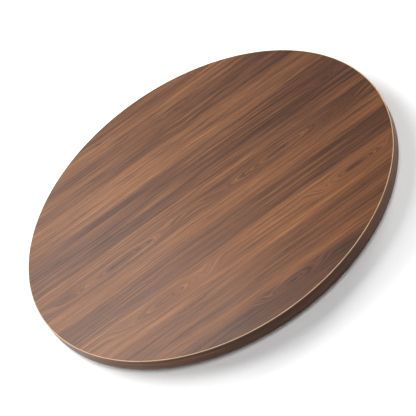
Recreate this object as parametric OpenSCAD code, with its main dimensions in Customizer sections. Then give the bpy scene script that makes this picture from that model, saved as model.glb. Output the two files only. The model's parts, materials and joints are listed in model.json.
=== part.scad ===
// Lazy susan turntable: a laminated round board on a two-ring ball bearing with rubber feet.
// Millimetres, +Z up. The origin is on the turning axis, in the plane that the feet stand on.
// The decor's grain runs along X.

/* [Board] */
// Diameter of the finished board, over the edge band
board_d = 760; // [500:10:1000]
// Thickness of the particleboard core
core_t = 23.4; // [16:0.2:30]
// Thickness of the decor laminate on each face
laminate_t = 0.8; // [0.4:0.1:1.5]
// Thickness of the edge band
band_t = 2; // [1:0.5:3]
// Radius trimmed on both long edges of the edge band
arris_r = 1.4; // [0.4:0.1:2]
// Gap where the two ends of the edge band meet
band_seam = 0.2; // [0.1:0.1:0.6]
// Where that gap is, anticlockwise from +X
seam_angle = 115; // [0:5:355]

/* [Bearing rings] */
// Outside diameter of the bearing
bearing_d = 400; // [300:10:460]
// Metal either side of a foot's recess, which sets the outer ring's width
foot_wall = 1.5; // [1:0.25:4]
// Radial width of the inner ring, which carries the board
turning_ring_w = 19.5; // [16:0.5:26]
// Thickness of the rings' lips, above and below the cage
lip_t = 1.35; // [0.8:0.05:3]
// How far the inner ring stands above the outer one
turning_rise = 1; // [0.5:0.25:2]
// Gap between the rings at their lips
lip_gap = 1; // [0.6:0.1:1.4]
// Chamfer on the rings' outer edges
ring_chamfer = 0.6; // [0.2:0.1:1]

/* [Balls and cage] */
// Diameter of the balls
ball_d = 5; // [4:0.25:6]
// Clearance between a ball and its race
race_gap = 0.05; // [0.02:0.01:0.1]
// Number of cage segments
cage_count = 4; // [3:1:6]
// Balls in each segment
balls_each = 12; // [6:1:14]
// Radial thickness of the cage
cage_t = 2; // [1.4:0.1:2.4]
// Height of the cage above and below its pockets
cage_web = 1.2; // [0.8:0.1:1.4]
// Clearance between a ball and its pocket
pocket_gap = 0.15; // [0.05:0.05:0.3]
// Clearance between the cage and the channel that it runs in
cage_gap = 0.3; // [0.2:0.05:0.4]
// Gap between neighbouring cage segments
cage_end_gap = 0.8; // [0.4:0.1:2]

/* [Feet] */
// Number of feet
foot_count = 8; // [4:1:12]
// Diameter of a foot where it meets the ring
foot_d = 16; // [13:0.5:22]
// How much a foot narrows towards the table, all round
foot_taper = 0.75; // [0:0.25:1]
// Height of the rings above the table
foot_h = 6; // [5:0.5:12]
// Depth of the recess in the ring that locates a foot
foot_seat = 1; // [0.5:0.25:1.5]
// Clearance around a foot in its recess
foot_seat_gap = 0.25; // [0.1:0.05:0.5]
// Thickness of rubber between the washer and the ring
foot_web = 2; // [1.5:0.25:3]
// Radius on a foot's lower edge
foot_edge_r = 1; // [0.4:0.1:1.4]
// How far the washer in a foot stands out past the screw's head
washer_rim = 0.3; // [0.1:0.1:0.6]
// Thickness of the washer
washer_t = 1; // [0.5:0.1:1.2]
// Clearance around the washer in the foot
washer_gap = 0.3; // [0.1:0.1:0.6]

/* [Fasteners] */
// Number of wood screws that hold the board
board_screw_count = 8; // [4:1:16]
// Diameter of a board screw
board_screw_d = 4; // [3:0.5:5]
// How far a board screw goes into the core
board_bite = 12.2; // [8:0.2:15]
// Diameter of a board screw's head
board_head_d = 8; // [7:0.5:9]
// Diameter of the screws that clamp the outer ring's halves, one between each pair of feet
clamp_screw_d = 3; // [2.5:0.5:3.5]
// How far a clamp screw goes into the upper half
clamp_bite = 2.5; // [1.5:0.25:4]
// Diameter of a clamp screw's head
clamp_head_d = 5.6; // [5:0.2:6.4]
// Diameter of a foot screw
foot_screw_d = 4; // [3:0.5:4]
// How far a foot screw goes into the upper half
foot_bite = 2.5; // [1.5:0.25:4]
// Diameter of a foot screw's head
foot_head_d = 8; // [7:0.2:9.6]
// Height of a foot screw's head
foot_head_h = 2.2; // [1.6:0.1:2.4]
// Clearance between a screw and the plain hole that it passes through
shank_gap = 0.25; // [0.1:0.05:0.4]
// Clearance between a screw and the hole that it is threaded into
thread_gap = 0.03; // [0.01:0.01:0.1]
// Depth of a threaded hole past the screw's tip
tip_gap = 0.6; // [0.2:0.1:1]

/* [Hidden] */
$fn = 96;
cut = 1; // how far a cutting shape runs past the face that it opens

// Radii
board_r = board_d / 2;
core_r = board_r - band_t;
arris = min(arris_r, 0.9 * band_t, core_t / 4);
bearing_r = bearing_d / 2;
foot_seat_d = foot_d + 2 * foot_seat_gap;
base_in_r = bearing_r - foot_seat_d - 2 * foot_wall;
pitch_r = base_in_r - lip_gap / 2;
turning_out_r = pitch_r - lip_gap / 2;
turning_in_r = turning_out_r - turning_ring_w;
ball_r = ball_d / 2;
race_r = ball_r + race_gap;
base_hole_r = (base_in_r + bearing_r) / 2;
turning_hole_r = (turning_in_r + turning_out_r) / 2;
washer_in_r = foot_screw_d / 2 + shank_gap;
washer_out_r = foot_head_d / 2 + washer_rim;
foot_recess_r = washer_out_r + washer_gap;
foot_sole_r = foot_d / 2 - foot_taper;
foot_edge = min(foot_edge_r, (foot_sole_r - foot_recess_r) / 2);

// The channel that the cage runs in, either side of the balls' centres
channel_half_w = cage_t / 2 + cage_gap;
cage_half_h = ball_r + pocket_gap + cage_web;
channel_half_h = cage_half_h + cage_gap;
ring_half_t = channel_half_h + lip_t;

// Heights
ring_z = foot_h;
ball_z = ring_z + ring_half_t;
cover_top_z = ball_z + ring_half_t;
board_z = cover_top_z + turning_rise;
core_z = board_z + laminate_t;
core_top_z = core_z + core_t;
board_top_z = core_top_z + laminate_t;
foot_top_z = ring_z + foot_seat;
washer_top_z = foot_top_z - foot_web;
washer_z = washer_top_z - washer_t;
foot_screw_tip_z = ball_z + foot_bite;
clamp_screw_tip_z = ball_z + clamp_bite;
board_screw_tip_z = core_z + board_bite;

// Angles
foot_step = 360 / foot_count;
clamp_start = foot_step / 2;
board_screw_step = 360 / board_screw_count;
cage_step = 360 / cage_count;
cage_gap_angle = cage_end_gap / pitch_r * 180 / PI;
ball_step = cage_step / balls_each;

// Screws
head_rim = 0.3; // height of the straight rim of a countersunk head
wood_tip = [1, 0.25]; // length and end diameter of a wood screw's tip, as shares of its shank's diameter
machine_tip = [0.2, 0.7]; // the same for a machine screw's
cross_size = [0.56, 0.16, 0.24]; // a cross recess's length, width and depth, as shares of the head's diameter

function foot_names() = [for (i = [1:foot_count]) str("rubber_foot_", i)];
function cage_names() = [for (i = [1:cage_count]) str("cage_segment_", i)];
function ball_names() = [for (i = [1:cage_count]) str("ball_set_", i)];

// ---- Shapes that repeat ----

// Copies of the children round the turning axis, on a circle
module around(count, r, start = 0) {
    for (i = [0:count - 1])
        rotate([0, 0, start + i * 360 / count]) translate([r, 0, 0]) children();
}

// A ring's half section: c holds the chamfers at its inner bottom, outer bottom, outer top and
// inner top corners
module section(r0, r1, z0, z1, c) {
    polygon([
        [r0, z0 + c[0]], [r0 + c[0], z0],
        [r1 - c[1], z0], [r1, z0 + c[1]],
        [r1, z1 - c[2]], [r1 - c[2], z1],
        [r0 + c[3], z1], [r0, z1 - c[3]]
    ]);
}

// What both rings lose to the balls and to the cage
module race_section() {
    translate([pitch_r, ball_z]) circle(r = race_r);
    translate([pitch_r - channel_half_w, ball_z - channel_half_h])
        square([2 * channel_half_w, 2 * channel_half_h]);
}

// A cross recess opening downwards at z = 0
module cross_recess(head_d) {
    arm = head_d * cross_size;
    for (a = [0, 90])
        rotate([0, 0, a]) translate([-arm.x / 2, -arm.y / 2, -cut]) cube([arm.x, arm.y, arm.z + cut]);
}

// A countersunk screw pointing up, its head's face at z = 0
module countersunk_screw(d, head_d, length, tip) {
    cone_h = (head_d - d) / 2;
    tip_h = d * tip[0];
    difference() {
        union() {
            cylinder(d = head_d, h = head_rim);
            translate([0, 0, head_rim]) cylinder(d1 = head_d, d2 = d, h = cone_h);
            translate([0, 0, head_rim + cone_h]) cylinder(d = d, h = length - head_rim - cone_h - tip_h);
            translate([0, 0, length - tip_h]) cylinder(d1 = d, d2 = d * tip[1], h = tip_h);
        }
        cross_recess(head_d);
    }
}

// The hole for that screw, with its mouth at z = 0
module countersunk_hole(d, head_d, depth) {
    cone_h = (head_d - d) / 2;
    translate([0, 0, -cut]) cylinder(d = head_d, h = head_rim + cut);
    translate([0, 0, head_rim]) cylinder(d1 = head_d, d2 = d, h = cone_h);
    translate([0, 0, -cut]) cylinder(d = d + 2 * shank_gap, h = depth + cut);
}

// ---- Board ----

module board_core() {
    color("burlywood") difference() {
        translate([0, 0, core_z]) cylinder(r = core_r, h = core_t);
        around(board_screw_count, turning_hole_r)
            translate([0, 0, core_z - cut])
                cylinder(d = board_screw_d + 2 * thread_gap, h = board_screw_tip_z + tip_gap - core_z + cut);
    }
}

module top_laminate() {
    color("sienna") translate([0, 0, core_top_z]) cylinder(r = core_r, h = laminate_t);
}

module underside_laminate() {
    color("sienna") difference() {
        translate([0, 0, board_z]) cylinder(r = core_r, h = laminate_t);
        around(board_screw_count, turning_hole_r)
            translate([0, 0, board_z - cut])
                cylinder(d = board_screw_d + 2 * thread_gap, h = laminate_t + 2 * cut);
    }
}

// The band's half section: a strip with a quarter round at each outer corner
module band_section() {
    board_t = board_top_z - board_z;
    intersection() {
        translate([core_r, board_z]) square([band_t, board_t]);
        union() {
            translate([core_r, board_z + arris]) square([band_t, board_t - 2 * arris]);
            translate([core_r, board_z]) square([band_t - arris, board_t]);
            for (z = [board_z + arris, board_top_z - arris])
                translate([board_r - arris, z]) circle(r = arris);
        }
    }
}

module edge_band() {
    color("saddlebrown") difference() {
        rotate_extrude() band_section();
        rotate([0, 0, seam_angle])
            translate([core_r - cut, -band_seam / 2, board_z - cut])
                cube([band_t + 2 * cut, band_seam, board_top_z - board_z + 2 * cut]);
    }
}

// ---- Turning ring and what fastens it to the board ----

module turning_ring() {
    c = ring_chamfer;
    color("silver") difference() {
        rotate_extrude() difference() {
            section(turning_in_r, turning_out_r, ring_z, board_z, [c, 0, 0, c]);
            race_section();
        }
        around(board_screw_count, turning_hole_r)
            translate([0, 0, ring_z])
                countersunk_hole(board_screw_d, board_head_d, board_z - ring_z + cut);
    }
}

module board_screws() {
    color("gainsboro") around(board_screw_count, turning_hole_r)
        translate([0, 0, ring_z])
            countersunk_screw(board_screw_d, board_head_d, board_screw_tip_z - ring_z, wood_tip);
}

// ---- Balls and their cage ----

module balls_of(segment) {
    color("lightgray") for (i = [0:balls_each - 1])
        rotate([0, 0, (segment - 1) * cage_step + (i + 0.5) * ball_step])
            translate([pitch_r, 0, ball_z]) sphere(d = ball_d);
}

module cage_segment(segment) {
    color("ivory") rotate([0, 0, (segment - 1) * cage_step]) difference() {
        rotate([0, 0, cage_gap_angle / 2])
            rotate_extrude(angle = cage_step - cage_gap_angle)
                translate([pitch_r - cage_t / 2, ball_z - cage_half_h])
                    square([cage_t, 2 * cage_half_h]);
        for (i = [0:balls_each - 1])
            rotate([0, 0, (i + 0.5) * ball_step])
                translate([pitch_r - cage_t, 0, ball_z]) rotate([0, 90, 0])
                    cylinder(r = ball_r + pocket_gap, h = 2 * cage_t);
    }
}

// ---- Base: the outer ring's two halves, clamped together, on rubber feet ----

module base_ring() {
    c = ring_chamfer;
    color("silver") difference() {
        rotate_extrude() difference() {
            section(base_in_r, bearing_r, ring_z, ball_z, [c, c, 0, 0]);
            race_section();
        }
        around(foot_count, base_hole_r) {
            translate([0, 0, ring_z - cut]) cylinder(d = foot_seat_d, h = foot_seat + cut);
            translate([0, 0, ring_z]) cylinder(d = foot_screw_d + 2 * shank_gap, h = ring_half_t + cut);
        }
        around(foot_count, base_hole_r, clamp_start)
            translate([0, 0, ring_z]) countersunk_hole(clamp_screw_d, clamp_head_d, ring_half_t + cut);
    }
}

module cover_ring() {
    c = ring_chamfer;
    color("silver") difference() {
        rotate_extrude() difference() {
            section(base_in_r, bearing_r, ball_z, cover_top_z, [0, 0, c, c]);
            race_section();
        }
        around(foot_count, base_hole_r)
            translate([0, 0, ball_z - cut])
                cylinder(d = foot_screw_d + 2 * thread_gap, h = foot_screw_tip_z + tip_gap - ball_z + cut);
        around(foot_count, base_hole_r, clamp_start)
            translate([0, 0, ball_z - cut])
                cylinder(d = clamp_screw_d + 2 * thread_gap, h = clamp_screw_tip_z + tip_gap - ball_z + cut);
    }
}

module clamp_screws() {
    color("gainsboro") around(foot_count, base_hole_r, clamp_start)
        translate([0, 0, ring_z])
            countersunk_screw(clamp_screw_d, clamp_head_d, clamp_screw_tip_z - ring_z, machine_tip);
}

// A foot's half section: tapered, round on its lower edge, open below for the screw's head
module foot_section() {
    top_r = foot_d / 2;
    edge_r = foot_sole_r - foot_edge;
    polygon([
        [foot_recess_r, 0], [edge_r, 0], [edge_r, foot_edge], [foot_sole_r, foot_edge],
        [top_r, ring_z], [top_r, foot_top_z], [washer_in_r, foot_top_z],
        [washer_in_r, washer_top_z], [foot_recess_r, washer_top_z]
    ]);
    translate([edge_r, foot_edge]) circle(r = foot_edge);
}

module rubber_foot(i) {
    color([0.1, 0.1, 0.1]) rotate([0, 0, (i - 1) * foot_step])
        translate([base_hole_r, 0, 0]) rotate_extrude() foot_section();
}

module foot_washers() {
    color("gainsboro") around(foot_count, base_hole_r)
        rotate_extrude() translate([washer_in_r, washer_z])
            square([washer_out_r - washer_in_r, washer_t]);
}

// A pan head with a domed face, below a plain shank
module foot_screws() {
    head_r = foot_head_d / 2;
    tip_h = foot_screw_d * machine_tip[0];
    color("gainsboro") around(foot_count, base_hole_r) difference() {
        union() {
            rotate_extrude() intersection() {
                translate([0, washer_z - foot_head_h]) square([head_r, foot_head_h]);
                translate([0, washer_z - foot_head_h + foot_head_d]) circle(r = foot_head_d);
            }
            translate([0, 0, washer_z]) cylinder(d = foot_screw_d, h = foot_screw_tip_z - tip_h - washer_z);
            translate([0, 0, foot_screw_tip_z - tip_h])
                cylinder(d1 = foot_screw_d, d2 = foot_screw_d * machine_tip[1], h = tip_h);
        }
        translate([0, 0, washer_z - foot_head_h]) cross_recess(foot_head_d);
    }
}

// ---- Nodes ----

board_core();
top_laminate();
underside_laminate();
edge_band();
turning_ring();
board_screws();
for (i = [1:cage_count]) {
    cage_segment(i);
    balls_of(i);
}
base_ring();
cover_ring();
clamp_screws();
for (i = [1:foot_count])
    rubber_foot(i);
foot_washers();
foot_screws();
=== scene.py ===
"""The looks of the lazy susan turntable: a walnut-decor board on an aluminium ring bearing.

Everything is in metres in the CAD frame: +Z up along the turning axis, the decor's grain along X.
"""

import json
from math import cos, pi, radians, sin

import bmesh
import bpy
from mathutils import Matrix, Vector


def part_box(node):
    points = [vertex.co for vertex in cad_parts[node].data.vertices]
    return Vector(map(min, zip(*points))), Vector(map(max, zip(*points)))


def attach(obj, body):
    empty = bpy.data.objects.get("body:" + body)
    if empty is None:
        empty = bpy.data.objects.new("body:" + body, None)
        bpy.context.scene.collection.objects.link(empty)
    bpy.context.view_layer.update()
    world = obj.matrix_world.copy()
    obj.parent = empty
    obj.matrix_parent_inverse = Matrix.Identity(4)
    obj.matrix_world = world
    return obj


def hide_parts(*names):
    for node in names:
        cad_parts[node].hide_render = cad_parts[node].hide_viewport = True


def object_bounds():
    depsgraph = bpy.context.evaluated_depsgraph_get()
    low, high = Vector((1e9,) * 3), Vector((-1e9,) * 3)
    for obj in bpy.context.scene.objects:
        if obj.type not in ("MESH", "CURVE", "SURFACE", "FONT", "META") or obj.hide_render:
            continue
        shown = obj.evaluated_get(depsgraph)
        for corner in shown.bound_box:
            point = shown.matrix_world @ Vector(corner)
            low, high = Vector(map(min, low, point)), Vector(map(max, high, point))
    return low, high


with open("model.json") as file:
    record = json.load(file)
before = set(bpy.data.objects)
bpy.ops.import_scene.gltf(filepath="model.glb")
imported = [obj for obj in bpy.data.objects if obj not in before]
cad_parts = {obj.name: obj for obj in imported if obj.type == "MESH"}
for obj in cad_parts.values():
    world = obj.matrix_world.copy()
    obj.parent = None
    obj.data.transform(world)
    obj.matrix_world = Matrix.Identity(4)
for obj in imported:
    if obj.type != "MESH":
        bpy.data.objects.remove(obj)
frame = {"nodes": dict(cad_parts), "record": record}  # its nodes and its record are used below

CAD_BOX = [list(corner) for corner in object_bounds()]
MM = 0.001

# ---- The board's sizes, from the frame ----

BAND_LOW, BAND_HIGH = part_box("edge_band")
LAMINATE_LOW, LAMINATE_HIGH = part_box("top_laminate")
BOARD_R = min(BAND_HIGH.x, BAND_HIGH.y, -BAND_LOW.x, -BAND_LOW.y)
BAND_THICKNESS = 2 * MM
CORE_R = BOARD_R - BAND_THICKNESS
BOARD_Z, BOARD_TOP_Z = BAND_LOW.z, BAND_HIGH.z
ARRIS_R = 1.4 * MM
SEAM_ANGLE = radians(115)  # where the band's ends meet, from +X towards +Y
SEAM_GAP = 0.2 * MM
ROUND_STEPS = 720  # facets round the board
ARRIS_STEPS = 8  # facets round each trimmed corner
SHEET_RINGS = (0.25, 0.5, 0.75, 0.92, 1.0)  # rings across a sheet's faces, as shares of its radius
SMOOTH_UNDER = radians(30)  # edges sharper than this stay sharp

# ---- The camera: where it aims on the board's top, and from where ----

AIM = Vector((-8 * MM, -37 * MM, BOARD_TOP_Z))
CAMERA_DISTANCE = 3.02
CAMERA_ELEVATION = radians(39.72)
CAMERA_HEADING = radians(1.81)  # the way it looks, from +Y towards +X
CAMERA_ROLL = radians(-34.24)
LENS_MM = 140.3
SENSOR_MM = 36

# ---- The decor: (upper edge in mm from the middle, tone from 0 dark to 1 light) for each stripe.
# The last row only closes the one before it. ----

STRIPES = (
    (385, 0.42), (332, 0.55), (290, 0.41), (208, 0.61), (132, 0.38), (31, 0.59), (8, 0.46),
    (-39, 0.67), (-82, 0.43), (-149, 0.71), (-223, 0.52), (-290, 0.65), (-316, 0.27), (-385, 0.27),
)
STRIPE_BLEND_MM = 4  # how far each stripe's edge fades, either side
DECOR_SPAN_MM = 800

# Eyes and knots in the figure: (x, y, half length, half width, all in mm, then how dark the heart is)
FIGURES = (
    (160, -18, 150, 20, 0.10),
    (250, -177, 80, 19, 0.46),
    (-165, -174, 95, 20, 0.16),
    (36, -329, 60, 15, 0.30),
    (60, 274, 34, 8, 0.30),
    (321, 78, 30, 8, 0.35),
    (-204, -16, 130, 17, 0.08),
    (-134, -229, 26, 5, 0.30),
)

# Streaks of noise, coarse to fine: (scale along the grain, scale across it, roughness, tone they add)
STREAKS = (
    (1.2, 30.0, 0.55, 0.32),
    (2.4, 110.0, 0.55, 0.70),
    (3.6, 260.0, 0.55, 1.10),
    (8.0, 560.0, 0.65, 1.30),
    (26.0, 1500.0, 0.7, 0.70),
)

# The decor's colours, from its darkest tone to its lightest
WALNUT = (
    (0.0, (0.045, 0.024, 0.015)),
    (0.25, (0.082, 0.037, 0.022)),
    (0.5, (0.131, 0.057, 0.028)),
    (0.75, (0.188, 0.082, 0.035)),
    (1.0, (0.262, 0.118, 0.047)),
)
PORE_COLOUR = (0.030, 0.015, 0.010)
SHEEN_TINT_MINUS_Y = (0.95, 0.87, 0.78)  # painted reflection tint: multiplies the print's colour at the top sheet's -Y side, warmer where little haze is mirrored
SHEEN_TINT_PLUS_Y = (1.03, 1.11, 1.24)  # the same at its +Y side, cooler and bluer, a painted reflection of pale haze
TOP_LAYER, UNDERSIDE_LAYER, BAND_LAYER = 2.0, 7.0, 11.0  # which slice of the noise each one shows
UNDERSIDE_SHIFT = 0.9  # along the grain, to another part of the print
PRINT_RELIEF = 0.04 * MM

# ---- The studio ----

FLOOR_HALF = 12
SKY_STRENGTH = 1.0


# ---- Building materials ----


class Look:
    """One procedural material. Each method adds a node and gives the output socket to use next."""

    def __init__(self, name):
        self.material = bpy.data.materials.new(name)
        self.material.use_nodes = True
        self.tree = self.material.node_tree
        self.shader = self.tree.nodes["Principled BSDF"]

    def node(self, kind, inputs, **settings):
        made = self.tree.nodes.new(kind)
        for setting, value in settings.items():
            setattr(made, setting, value)
        for key, value in inputs.items():
            self.feed(made.inputs[key], value)
        return made

    def feed(self, socket, value):
        if isinstance(value, bpy.types.NodeSocket):
            self.tree.links.new(value, socket)
        else:
            socket.default_value = value

    def place(self):
        """The point's place in the piece's own frame, which is the CAD frame at rest."""
        return self.node("ShaderNodeTexCoord", {}).outputs["Object"]

    def parts(self, vector):
        return self.node("ShaderNodeSeparateXYZ", {0: vector}).outputs

    def vector(self, x, y, z):
        return self.node("ShaderNodeCombineXYZ", {0: x, 1: y, 2: z}).outputs[0]

    def math(self, operation, a, b=0.0, c=0.0):
        return self.node("ShaderNodeMath", {0: a, 1: b, 2: c}, operation=operation).outputs[0]

    def scaled(self, x, x_scale, y, y_scale, z):
        """A place to read noise at: x and y scaled apart, and a fixed layer z."""
        return self.vector(self.math("MULTIPLY", x, x_scale), self.math("MULTIPLY", y, y_scale), z)

    def length(self, x, y):
        squares = self.math("ADD", self.math("MULTIPLY", x, x), self.math("MULTIPLY", y, y))
        return self.math("SQRT", squares)

    def swayed(self, value, noise, share):
        """value, moved by share times how far the noise is from its middle."""
        return self.math("MULTIPLY_ADD", self.math("SUBTRACT", noise, 0.5), share, value)

    def noise(self, vector, scale=1.0, detail=2.0, roughness=0.5, distortion=0.0):
        inputs = {"Vector": vector, "Scale": scale, "Detail": detail,
                  "Roughness": roughness, "Distortion": distortion}
        return self.node("ShaderNodeTexNoise", inputs).outputs["Fac"]

    def cells(self, vector, scale=1.0, output="Distance"):
        return self.node("ShaderNodeTexVoronoi", {"Vector": vector, "Scale": scale}).outputs[output]

    def remap(self, value, low, high, to_low=0.0, to_high=1.0, smooth=False):
        kind = "SMOOTHSTEP" if smooth else "LINEAR"
        inputs = {"Value": value, "From Min": low, "From Max": high, "To Min": to_low, "To Max": to_high}
        return self.node("ShaderNodeMapRange", inputs, interpolation_type=kind).outputs["Result"]

    def ramp(self, value, stops):
        """A colour ramp: stops are (place, colour or grey level)."""
        made = self.node("ShaderNodeValToRGB", {0: value})
        elements = made.color_ramp.elements
        while len(elements) < len(stops):
            elements.new(0.5)
        for element, (at, colour) in zip(elements, stops):
            element.position = at
            element.color = (colour, colour, colour, 1) if isinstance(colour, float) else (*colour, 1)
        return made.outputs["Color"]

    def mix(self, factor, a, b, blend="MIX"):
        made = self.node("ShaderNodeMix", {}, data_type="RGBA", blend_type=blend)
        for key, value in (("Factor_Float", factor), ("A_Color", a), ("B_Color", b)):
            socket = next(s for s in made.inputs if s.identifier == key)
            self.feed(socket, (*value, 1) if isinstance(value, tuple) else value)
        return next(s for s in made.outputs if s.identifier == "Result_Color")

    def finish(self, colour, roughness, height=None, depth=0.0, **constants):
        """Feeds the shader. depth is the bump's depth in metres, constants are its other sockets."""
        self.feed(self.shader.inputs["Base Color"], colour)
        self.feed(self.shader.inputs["Roughness"], roughness)
        if height is not None:
            bump = self.node("ShaderNodeBump", {"Height": height, "Strength": 1.0, "Distance": depth})
            self.feed(self.shader.inputs["Normal"], bump.outputs["Normal"])
        for name, value in constants.items():
            self.shader.inputs[name.replace("_", " ")].default_value = value
        return self.material


def stripe_stops():
    """The stripes as a ramp's stops, each edge faded over a few millimetres."""
    def at(y):
        return 0.5 + y / DECOR_SPAN_MM

    stops = []
    for (top, tone), (bottom, _) in reversed(list(zip(STRIPES, STRIPES[1:]))):
        stops.append((at(bottom + STRIPE_BLEND_MM), float(tone)))
        stops.append((at(top - STRIPE_BLEND_MM), float(tone)))
    return stops


def ring_field(look, x, y):
    """The grain coordinate, in metres across the grain: y, closing into long eyes round each figure.
    Also how dark the hearts of the figures make the wood, and how far inside a figure the place is."""
    grain, heart, figured = y, 0.0, 0.0
    for fx, fy, length, width, dark in FIGURES:
        dx = look.math("DIVIDE", look.math("SUBTRACT", x, fx * MM), length * MM)
        dy = look.math("DIVIDE", look.math("SUBTRACT", y, fy * MM), width * MM)
        away = look.length(dx, dy)
        inside = look.remap(away, 1.5, 0.7, smooth=True)
        ring = look.math("MULTIPLY_ADD", away, width * MM, fy * MM)
        grain = look.math("MULTIPLY_ADD", look.math("SUBTRACT", ring, grain), inside, grain)
        spot = look.remap(away, 0.42, 0.08, 0.0, dark, smooth=True)
        heart = look.math("MAXIMUM", heart, spot)
        figured = look.math("MAXIMUM", figured, inside)
    return grain, heart, figured


def walnut_tone(look, x, y, z, striped):
    """The print's tone, from 0 dark to 1 light, and its fine pores. x runs along the grain and y across
    it, z picks a layer of the noise, and striped(y) gives the tone that the streaks are laid on.
    FIGURES are placed on the top sheet: the underside and the band use parts of the print that all
    but miss them."""
    sway = look.noise(look.scaled(x, 2.2, y, 7.0, z), 1.0, 2.0)
    ripple = look.noise(look.scaled(x, 14.0, y, 45.0, z), 1.0, 2.0)
    y = look.swayed(y, sway, 0.018)
    y = look.swayed(y, ripple, 0.007)
    grain, heart, figured = ring_field(look, x, y)

    def streaks(along, across, detail, roughness=0.55):
        at = look.scaled(x, along, grain, across, z)
        return look.math("SUBTRACT", look.noise(at, 1.0, detail, roughness), 0.5)

    # painted shade: the tone is lowered along the grain over the top sheet's +X side, standing in for
    # light falling off there
    tone = look.math("SUBTRACT", striped(y), look.remap(x, 0.02, 0.34, 0.0, 0.19, smooth=True))
    for along, across, roughness, share in STREAKS:
        tone = look.math("MULTIPLY_ADD", streaks(along, across, 2.0, roughness), share, tone)
    dark_line = look.remap(streaks(1.4, 90.0, 1.0), 0.17, 0.23, 0.0, 0.22, smooth=True)
    tone = look.math("SUBTRACT", tone, dark_line)
    # thin growth lines lie where a slow noise crosses its middle, and fade in and out along the grain
    crossing = look.math("ABSOLUTE", streaks(1.8, 95.0, 1.0))
    thin_line = look.remap(crossing, 0.022, 0.0, 0.0, 0.30, smooth=True)
    present = look.remap(streaks(3.5, 24.0, 1.0), -0.08, 0.10, smooth=True)
    present = look.math("MULTIPLY", present, look.remap(figured, 0.0, 1.0, 1.0, 0.25))
    tone = look.math("SUBTRACT", tone, look.math("MULTIPLY", thin_line, present))
    tone = look.math("SUBTRACT", tone, heart)
    specks = look.noise(look.scaled(x, 130.0, grain, 2600.0, z), 1.0, 1.0)
    pores = look.remap(specks, 0.64, 0.72, smooth=True)
    return tone, pores


def decor(name, mirrored=False):
    """Satin walnut laminate. The mirrored sheet is the same print laid face down."""
    look = Look(name)
    x, y, _ = look.parts(look.place())
    if mirrored:
        x = look.math("ADD", x, UNDERSIDE_SHIFT)
        y = look.math("MULTIPLY", y, -1.0)
    layer = UNDERSIDE_LAYER if mirrored else TOP_LAYER

    def striped(across):
        share = look.math("MULTIPLY_ADD", across, 1 / (DECOR_SPAN_MM * MM), 0.5)
        return look.ramp(share, stripe_stops())

    tone, pores = walnut_tone(look, x, y, layer, striped)
    colour = look.ramp(tone, WALNUT)
    # painted reflection: the print's colour is tinted warmer at one side of the sheet and cooler and
    # bluer at the other, standing in for pale haze mirrored in the board
    painted_sheen_tint = look.mix(look.remap(y, -0.30, 0.30), SHEEN_TINT_MINUS_Y, SHEEN_TINT_PLUS_Y)
    colour = look.mix(1.0, colour, painted_sheen_tint, "MULTIPLY")
    colour = look.mix(look.math("MULTIPLY", pores, 0.45), colour, PORE_COLOUR)
    smudge = look.noise(look.place(), 9.0, 3.0)
    roughness = look.math("MULTIPLY_ADD", pores, 0.18, look.remap(smudge, 0.3, 0.7, 0.36, 0.42))
    height = look.math("SUBTRACT", look.math("MULTIPLY", tone, 0.25), pores)
    return look.finish(colour, roughness, height, PRINT_RELIEF, Specular_IOR_Level=0.32)


def banding(name):
    """Printed ABS edge band: walnut along the rim, and cream where its corners are trimmed round."""
    look = Look(name)
    x, y, z = look.parts(look.place())
    # turned so that the wrap of the angle falls on the band's seam
    turn = pi - SEAM_ANGLE
    turned_x = look.math("MULTIPLY_ADD", x, cos(turn), look.math("MULTIPLY", y, -sin(turn)))
    turned_y = look.math("MULTIPLY_ADD", x, sin(turn), look.math("MULTIPLY", y, cos(turn)))
    along = look.math("MULTIPLY", look.math("ARCTAN2", turned_y, turned_x), BOARD_R)
    level = look.noise(look.scaled(along, 1.4, z, 30.0, 5.0), 1.0, 1.0)
    # painted light and shade: the rim's tone is raised towards its ±X sides and kept dark over its front
    # and back, standing in for how the lamps light the rim
    side = look.math("ABSOLUTE", look.math("DIVIDE", x, BOARD_R))

    def plain(_across):
        cloudy = look.remap(level, 0.3, 0.7, -0.04, 0.18)
        # the rise towards the ±X sides is painted light; the front and back are left in painted shade
        return look.math("ADD", cloudy, look.remap(side, 0.3, 0.95, 0.06, 0.44))

    tone, pores = walnut_tone(look, along, z, BAND_LAYER, plain)
    print_colour = look.ramp(tone, WALNUT)
    print_colour = look.mix(look.math("MULTIPLY", pores, 0.4), print_colour, PORE_COLOUR)
    radius = look.length(x, y)
    mid_z, half = (BOARD_Z + BOARD_TOP_Z) / 2, (BOARD_TOP_Z - BOARD_Z) / 2
    to_face = look.math("SUBTRACT", half, look.math("ABSOLUTE", look.math("SUBTRACT", z, mid_z)))
    waver = look.noise(look.vector(look.math("MULTIPLY", along, 60.0), 0.0, 3.0), 1.0, 2.0)
    wander = look.math("MULTIPLY", waver, 0.4 * MM)
    trimmed = look.remap(look.math("ADD", to_face, wander), ARRIS_R * 0.65, ARRIS_R * 0.4, smooth=True)
    glue = look.remap(radius, CORE_R + 0.3 * MM, CORE_R + 0.1 * MM, smooth=True)
    cream_level = look.noise(look.scaled(along, 25.0, z, 900.0, 1.0), 1.0, 3.0)
    cream = look.ramp(cream_level, ((0.25, (0.42, 0.28, 0.16)), (0.75, (0.60, 0.43, 0.26))))
    cream = look.mix(glue, cream, (0.06, 0.03, 0.02))
    colour = look.mix(trimmed, print_colour, cream)
    roughness = look.math("MULTIPLY_ADD", trimmed, 0.12, look.remap(tone, 0.0, 1.0, 0.44, 0.38))
    height = look.math("SUBTRACT", look.math("MULTIPLY", tone, 0.3), look.math("MULTIPLY", pores, 0.7))
    return look.finish(colour, roughness, height, PRINT_RELIEF, Specular_IOR_Level=0.18)


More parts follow.
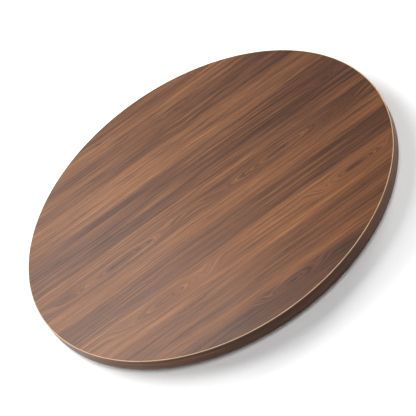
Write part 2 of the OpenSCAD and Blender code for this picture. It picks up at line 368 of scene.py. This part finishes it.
def chipboard():
    look = Look("particleboard")
    x, y, z = look.parts(look.place())
    flakes = look.cells(look.vector(x, y, look.math("MULTIPLY", z, 2.5)), 260.0, "Color")
    level = look.parts(flakes)[0]
    dust = look.noise(look.place(), 900.0, 2.0)
    colour = look.ramp(look.math("MULTIPLY_ADD", dust, 0.3, look.math("MULTIPLY", level, 0.7)),
                       ((0.1, (0.23, 0.14, 0.07)), (0.5, (0.45, 0.31, 0.17)), (0.9, (0.62, 0.47, 0.29))))
    return look.finish(colour, 0.85, level, 0.0003)


def turned_aluminium():
    """Clear anodised aluminium with fine rings from the lathe and a few handling marks."""
    look = Look("aluminium")
    x, y, z = look.parts(look.place())
    turns = look.noise(look.scaled(look.length(x, y), 4200.0, z, 4200.0, 0.0), 1.0, 2.0)
    cloud = look.noise(look.place(), 22.0, 4.0, 0.6)
    marks = look.remap(look.noise(look.place(), 160.0, 5.0, 0.7, 1.5), 0.62, 0.7)
    colour = look.ramp(look.math("MULTIPLY_ADD", turns, 0.35, look.math("MULTIPLY", cloud, 0.65)),
                       ((0.3, (0.56, 0.57, 0.58)), (0.7, (0.72, 0.73, 0.74))))
    roughness = look.math("MULTIPLY_ADD", marks, 0.15, look.remap(cloud, 0.3, 0.7, 0.27, 0.36))
    return look.finish(colour, roughness, turns, 0.000012, Metallic=1.0, Anisotropic=0.3)


def zinc_plate():
    look = Look("zinc_steel")
    bloom = look.noise(look.place(), 700.0, 4.0, 0.6)
    stops = ((0.3, (0.42, 0.43, 0.45)), (0.6, (0.60, 0.61, 0.63)), (0.8, (0.66, 0.64, 0.58)))
    colour = look.ramp(bloom, stops)
    roughness = look.remap(bloom, 0.3, 0.7, 0.26, 0.42)
    return look.finish(colour, roughness, bloom, 0.00001, Metallic=1.0)


def bearing_steel():
    look = Look("ball_steel")
    smear = look.noise(look.place(), 450.0, 3.0)
    colour = look.ramp(smear, ((0.3, (0.66, 0.67, 0.69)), (0.7, (0.78, 0.78, 0.79))))
    return look.finish(colour, look.remap(smear, 0.35, 0.7, 0.06, 0.14), Metallic=1.0)


def moulded_nylon():
    look = Look("cage_nylon")
    flow = look.noise(look.place(), 120.0, 4.0, 0.55)
    colour = look.ramp(flow, ((0.3, (0.60, 0.57, 0.47)), (0.7, (0.74, 0.71, 0.62))))
    grit = look.noise(look.place(), 2500.0, 2.0)
    return look.finish(colour, look.remap(flow, 0.3, 0.7, 0.42, 0.52), grit, 0.00001,
                       Subsurface_Weight=0.15, Subsurface_Scale=0.001)


def moulded_rubber():
    look = Look("rubber")
    z = look.parts(look.place())[2]
    grain = look.noise(look.place(), 1800.0, 3.0)
    near_table = look.remap(z, 2.5 * MM, 0.0, smooth=True)
    dust = look.math("MULTIPLY", near_table, look.noise(look.place(), 320.0, 4.0))
    colour = look.ramp(grain, ((0.3, (0.012, 0.012, 0.013)), (0.7, (0.024, 0.024, 0.025))))
    colour = look.mix(look.math("MULTIPLY", dust, 0.35), colour, (0.16, 0.15, 0.14))
    return look.finish(colour, look.remap(grain, 0.3, 0.7, 0.62, 0.74), grain, 0.00003)


def floor_paint():
    look = Look("pale_floor")
    cloud = look.noise(look.place(), 1.5, 2.0)
    colour = look.ramp(cloud, ((0.3, (0.86, 0.86, 0.86)), (0.7, (0.88, 0.88, 0.88))))
    return look.finish(colour, 0.9, Specular_IOR_Level=0.0)


# ---- Finer pieces that take the place of the board's visible skins ----


def turned(name, outline, material, gap_angle=0.0, gap_at=0.0):
    """A solid of revolution from a closed outline of (radius, z). A gap leaves it open there,
    with flat ends."""
    mesh = bmesh.new()
    columns = []
    count = ROUND_STEPS + 1 if gap_angle else ROUND_STEPS
    for i in range(count):
        angle = gap_at + gap_angle / 2 + i * (2 * pi - gap_angle) / ROUND_STEPS
        columns.append([
            mesh.verts.new((r * cos(angle), r * sin(angle), z)) if r > 0 or i == 0 else columns[0][k]
            for k, (r, z) in enumerate(outline)
        ])
    for i in range(ROUND_STEPS):
        here, there = columns[i], columns[(i + 1) % count]
        for k in range(len(outline)):
            n = (k + 1) % len(outline)
            corners = list(dict.fromkeys((here[k], there[k], there[n], here[n])))
            if len(corners) > 2:
                mesh.faces.new(corners)
    if gap_angle:
        mesh.faces.new(list(reversed(columns[0])))
        mesh.faces.new(columns[-1])
    bmesh.ops.recalc_face_normals(mesh, faces=mesh.faces)
    data = bpy.data.meshes.new(name)
    mesh.to_mesh(data)
    mesh.free()
    data.materials.append(material)
    for face in data.polygons:
        face.use_smooth = True
    data.set_sharp_from_angle(angle=SMOOTH_UNDER)
    piece = bpy.data.objects.new(name, data)
    bpy.context.scene.collection.objects.link(piece)
    return piece


def arris(centre_r, centre_z, start):
    """Points round a trimmed corner of the band, anticlockwise from start for a quarter turn."""
    angles = [start + i * (pi / 2) / ARRIS_STEPS for i in range(ARRIS_STEPS + 1)]
    return [(centre_r + ARRIS_R * cos(a), centre_z + ARRIS_R * sin(a)) for a in angles]


def make_edge_band():
    rim = BOARD_R - ARRIS_R
    outline = [(CORE_R, BOARD_TOP_Z), (CORE_R, BOARD_Z)]
    outline += arris(rim, BOARD_Z + ARRIS_R, -pi / 2)
    outline += arris(rim, BOARD_TOP_Z - ARRIS_R, 0.0)
    piece = turned("edge_band_trimmed", outline, banding("edge_band"), SEAM_GAP / BOARD_R, SEAM_ANGLE)
    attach(piece, "turntable")
    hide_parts("edge_band")


def sheet_outline(low_z, high_z):
    """A disc's closed outline, with rings across its faces so that its triangles stay even."""
    rings = [CORE_R * share for share in SHEET_RINGS]
    low = [(0.0, low_z)] + [(r, low_z) for r in rings]
    return low + [(r, high_z) for r in reversed(rings)] + [(0.0, high_z)]


def make_top_laminate():
    outline = sheet_outline(LAMINATE_LOW.z, LAMINATE_HIGH.z)
    piece = turned("top_decor_sheet", outline, decor("walnut_decor"))
    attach(piece, "turntable")
    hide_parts("top_laminate")


def dress_frame():
    """Materials for the CAD nodes that are seen as they are."""
    materials = {
        "laminate": decor("walnut_decor_underside", mirrored=True),
        "particleboard": chipboard(),
        "aluminium": turned_aluminium(),
        "zinc_steel": zinc_plate(),
        "ball_steel": bearing_steel(),
        "cage_nylon": moulded_nylon(),
        "rubber": moulded_rubber(),
    }
    for part in frame["record"]["subparts"]:
        material = materials.get(part["material_slot"])
        if material is None:
            continue
        data = frame["nodes"][part["node"]].data
        data.materials.clear()
        data.materials.append(material)
        for face in data.polygons:
            face.material_index = 0


# ---- Floor, lights and camera ----


def add_floor():
    mesh = bmesh.new()
    bmesh.ops.create_grid(mesh, x_segments=1, y_segments=1, size=FLOOR_HALF)
    data = bpy.data.meshes.new("floor")
    mesh.to_mesh(data)
    mesh.free()
    data.materials.append(floor_paint())
    floor = bpy.data.objects.new("floor", data)
    bpy.context.scene.collection.objects.link(floor)
    floor.location.z = CAD_BOX[0][2]


def aim_light(name, data, heading, elevation):
    """Adds a light that faces the board's middle, and gives the direction that it stands in.
    heading is from +Y towards +X, and both angles are in degrees."""
    light = bpy.data.objects.new(name, data)
    bpy.context.scene.collection.objects.link(light)
    a, e = radians(heading), radians(elevation)
    away = Vector((sin(a) * cos(e), cos(a) * cos(e), sin(e)))
    light.rotation_euler = away.to_track_quat("Z", "Y").to_euler()
    return away


def add_softbox(name, heading, elevation, distance, width, height, watts):
    data = bpy.data.lights.new(name, "AREA")
    data.shape = "RECTANGLE"
    data.size, data.size_y, data.energy = width, height, watts
    away = aim_light(name, data, heading, elevation)
    bpy.data.objects[name].location = away * distance


def add_daylight(name, heading, elevation, strength, spread, mirrored):
    """Soft light as even as from a far window. spread is how wide it looks, in degrees.
    A low lamp isn't mirrored, so that it doesn't glare on the board from the far side."""
    data = bpy.data.lights.new(name, "SUN")
    data.energy, data.angle = strength, radians(spread)
    aim_light(name, data, heading, elevation)
    bpy.data.objects[name].visible_glossy = mirrored


def add_studio():
    """The pale surroundings are only seen: the lamps alone light the board and the floor."""
    world = bpy.data.worlds.new("studio")
    bpy.context.scene.world = world
    world.use_nodes = True
    sky = world.node_tree.nodes["Background"]
    sky.inputs["Color"].default_value = (1, 1, 1, 1)
    sky.inputs["Strength"].default_value = SKY_STRENGTH
    world.cycles_visibility.diffuse = False
    world.cycles_visibility.glossy = False
    add_softbox("key", heading=-35, elevation=55, distance=1.3, width=1.0, height=1.0, watts=15)
    add_daylight("low_left", heading=-46, elevation=16, strength=2.6, spread=26, mirrored=False)
    add_daylight("low_back", heading=-22, elevation=16, strength=2.6, spread=26, mirrored=False)
    add_daylight("low_right", heading=50, elevation=14, strength=2.5, spread=26, mirrored=False)
    add_daylight("front", heading=176, elevation=52, strength=2.1, spread=32, mirrored=True)
    bpy.context.scene.view_settings.view_transform = "Standard"


def add_camera():
    data = bpy.data.cameras.new("camera")
    data.sensor_width, data.lens = SENSOR_MM, LENS_MM
    camera = bpy.data.objects.new("camera", data)
    bpy.context.scene.collection.objects.link(camera)
    turn = (Matrix.Rotation(-CAMERA_HEADING, 4, "Z") @ Matrix.Rotation(pi / 2 - CAMERA_ELEVATION, 4, "X")
            @ Matrix.Rotation(CAMERA_ROLL, 4, "Z"))
    back = (turn @ Vector((0, 0, 1, 0))).to_3d()
    camera.matrix_world = Matrix.Translation(AIM + back * CAMERA_DISTANCE) @ turn
    bpy.context.scene.camera = camera


add_camera()
add_studio()
add_floor()
make_top_laminate()
make_edge_band()
dress_frame()
